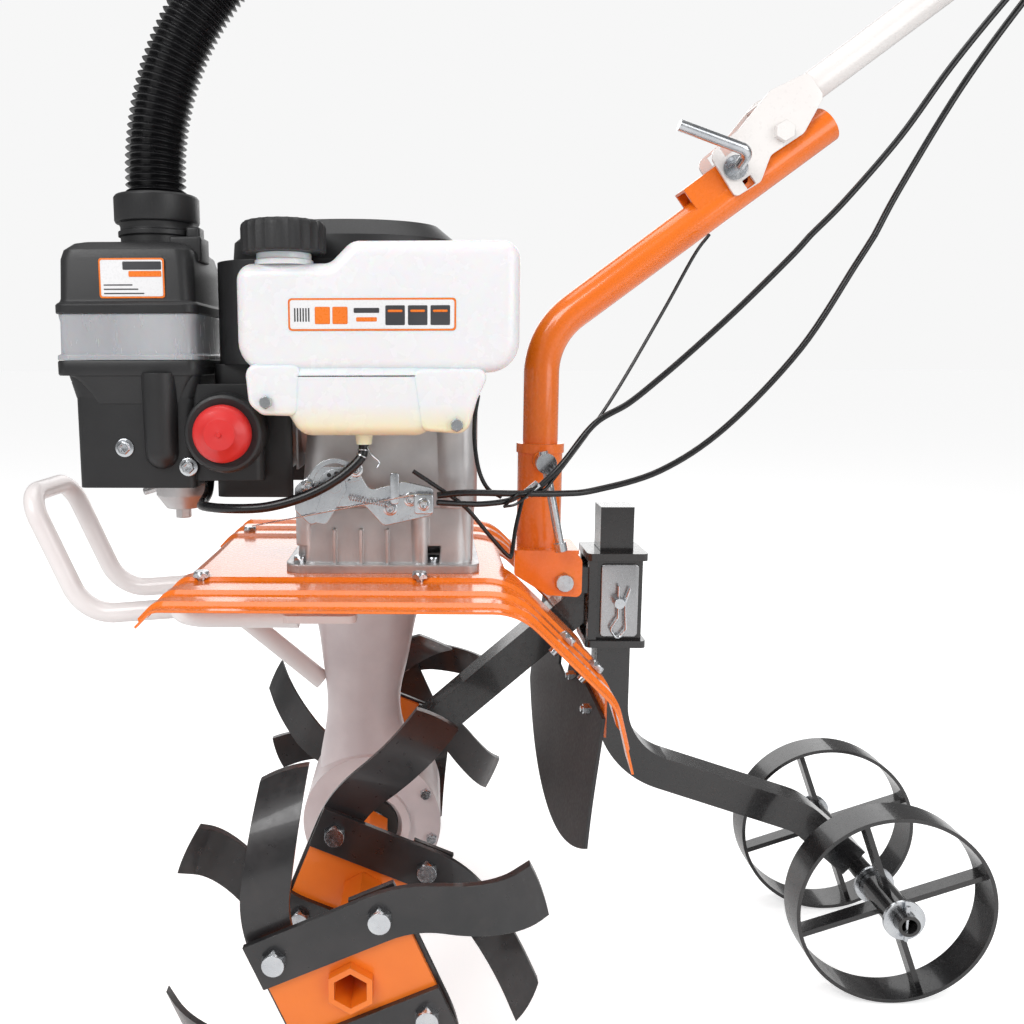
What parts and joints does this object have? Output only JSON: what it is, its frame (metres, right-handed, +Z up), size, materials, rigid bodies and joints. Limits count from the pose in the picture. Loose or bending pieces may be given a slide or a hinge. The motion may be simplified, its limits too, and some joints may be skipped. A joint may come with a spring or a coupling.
{
  "type": "mini cultivator",
  "caption": "Walk-behind mini cultivator: tined rotor under a sheet-metal deck, upright petrol engine, bumper, tail wheels and tilting handlebar.",
  "frame": {"origin": "on the ground, at the middle of the machine's length and width", "axes": "+X rearwards towards the tail wheels, +Y towards the machine's right-hand side, +Z up"},
  "size_m": [1.2262, 0.5758, 1.1278],
  "materials": {
    "orange_paint": "gloss orange powder coat",
    "off_white_paint": "semi-gloss warm off-white paint",
    "casting_paint": "semi-gloss off-white paint over die-cast aluminium",
    "black_paint": "gloss black paint",
    "white_paint": "gloss white paint",
    "zinc": "bright zinc plate",
    "steel": "turned or ground steel",
    "bronze": "cut bronze",
    "cast_alloy": "as-cast aluminium",
    "flap_rubber": "matte black rubber",
    "seal_rubber": "moulded nitrile",
    "grip_foam": "matte black grip rubber",
    "hose_rubber": "satin black corrugated hose",
    "black_plastic": "textured black plastic",
    "red_plastic": "glossy red plastic",
    "clear_plastic": "translucent plastic",
    "tank_plastic": "milky translucent plastic",
    "muffler_metal": "heat-resistant black",
    "paper_filter": "pleated filter foam",
    "cable_black": "black cable sheath"
  },
  "bodies": {
    "chassis": {"fender_plate": "orange_paint", "soil_flap": "flap_rubber", "front_bumper": "off_white_paint", "gearbox_case_left": "casting_paint", "gearbox_case_right": "casting_paint", "gearbox_bolts": "zinc", "gearbox_bearings": "steel", "output_seals": "seal_rubber", "support_strut": "black_paint", "hitch_saddle": "orange_paint", "hitch_receiver": "black_paint", "hitch_pin": "zinc", "tail_arm": "black_paint", "axle_washers": "zinc", "engine_sump": "cast_alloy", "engine_block": "cast_alloy", "fan_shroud": "black_plastic", "recoil_cover": "black_plastic", "muffler": "muffler_metal", "carburettor": "cast_alloy", "air_filter_base": "black_plastic", "air_filter_ring": "clear_plastic", "air_filter_cap": "black_plastic", "filter_element": "paper_filter", "snorkel_hose": "hose_rubber", "fuel_tank": "tank_plastic", "fuel_line": "cable_black", "control_plate": "zinc", "chassis_bolts": "zinc", "lower_cables": "cable_black"},
    "rotor": {"output_shaft": "steel", "worm_wheel": "bronze", "tine_tubes": "orange_paint", "tine_plates": "orange_paint", "outer_blades": "black_paint", "inner_blades": "black_paint", "tine_bolts": "zinc"},
    "worm": {"worm_shaft": "steel", "clutch_drum": "steel"},
    "crank": {"crankshaft": "steel", "flywheel": "cast_alloy", "clutch_shoes": "steel"},
    "left_wheel": {"left_wheel": "black_paint"},
    "right_wheel": {"right_wheel": "black_paint"},
    "stem": {"stem_tube": "orange_paint", "stem_cables": "cable_black"},
    "clamp_screw": {"clamp_screw": "zinc"},
    "handlebar": {"handlebar_bracket": "white_paint", "handlebar_tube": "white_paint", "grips": "grip_foam", "lever_mounts": "black_plastic", "upper_cables": "cable_black"},
    "lock_lever": {"lock_lever": "zinc"},
    "drive_lever": {"drive_lever": "black_plastic"},
    "throttle_lever": {"throttle_lever": "black_plastic"},
    "stop_switch": {"stop_switch": "red_plastic"},
    "primer_bulb": {"primer_bulb": "red_plastic"},
    "fuel_cap": {"fuel_cap": "black_plastic"},
    "starter_handle": {"starter_handle": "black_plastic"},
    "throttle_arm": {"throttle_arm": "zinc"}
  },
  "joints": [
    {"name": "rotor_spin", "type": "hinge", "parent": "chassis", "child": "rotor", "pos_m": [-0.28157, 0, 0.15], "axis": [0, 1, 0], "continuous": true},
    {"name": "worm_spin", "type": "hinge", "parent": "chassis", "child": "worm", "pos_m": [-0.31157, 0, 0.24], "axis": [0, 0, 1], "continuous": true},
    {"name": "crank_spin", "type": "hinge", "parent": "chassis", "child": "crank", "pos_m": [-0.31157, 0, 0.52], "axis": [0, 0, 1], "continuous": true},
    {"name": "left_wheel_spin", "type": "hinge", "parent": "chassis", "child": "left_wheel", "pos_m": [0.21113, -0.0745, 0.0925], "axis": [0, 1, 0], "continuous": true},
    {"name": "right_wheel_spin", "type": "hinge", "parent": "chassis", "child": "right_wheel", "pos_m": [0.21113, 0.0745, 0.0925], "axis": [0, 1, 0], "continuous": true},
    {"name": "stem_swivel", "type": "hinge", "parent": "chassis", "child": "stem", "pos_m": [-0.11757, 0, 0.47], "axis": [0, 0, 1], "range_deg": [-20, 20]},
    {"name": "clamp_screw_turn", "type": "hinge", "parent": "chassis", "child": "clamp_screw", "pos_m": [-0.11757, -0.045, 0.508], "axis": [0, 1, 0], "range_deg": [-60, 45]},
    {"name": "handlebar_tilt", "type": "hinge", "parent": "stem", "child": "handlebar", "pos_m": [0.09343, 0, 0.806], "axis": [0, -1, 0], "range_deg": [-6, 12]},
    {"name": "lock_lever_turn", "type": "hinge", "parent": "handlebar", "child": "lock_lever", "pos_m": [0.05163, 0, 0.7751], "axis": [0, 1, 0], "range_deg": [-40, 40]},
    {"name": "drive_lever_pull", "type": "hinge", "parent": "handlebar", "child": "drive_lever", "pos_m": [0.48371, -0.235, 1.04009], "axis": [0, -1, 0], "range_deg": [0, 12]},
    {"name": "throttle_lever_pull", "type": "hinge", "parent": "handlebar", "child": "throttle_lever", "pos_m": [0.48371, 0.235, 1.04009], "axis": [0, -1, 0], "range_deg": [0, 12]},
    {"name": "throttle_arm_turn", "type": "hinge", "parent": "chassis", "child": "throttle_arm", "pos_m": [-0.30757, -0.1, 0.494], "axis": [0, 1, 0], "range_deg": [0, 24]},
    {"name": "stop_switch_rock", "type": "hinge", "parent": "handlebar", "child": "stop_switch", "pos_m": [0.44444, 0.235, 1.07643], "axis": [0, 1, 0], "range_deg": [-12, 12]},
    {"name": "primer_press", "type": "slide", "parent": "chassis", "child": "primer_bulb", "axis": [0, 1, 0], "range_m": [0, 0.008]},
    {"name": "fuel_cap_turn", "type": "hinge", "parent": "chassis", "child": "fuel_cap", "pos_m": [-0.34757, -0.106, 0.7], "axis": [0, 0, 1], "range_deg": [0, 120]},
    {"name": "starter_pull", "type": "slide", "parent": "chassis", "child": "starter_handle", "axis": [0, 1, 0], "range_m": [0, 0.5]}
  ],
  "couplings": [
    {"joint": "worm_spin", "follows": "rotor_spin", "ratio": -30},
    {"joint": "throttle_arm_turn", "follows": "throttle_lever_pull", "ratio": 2}
  ]
}
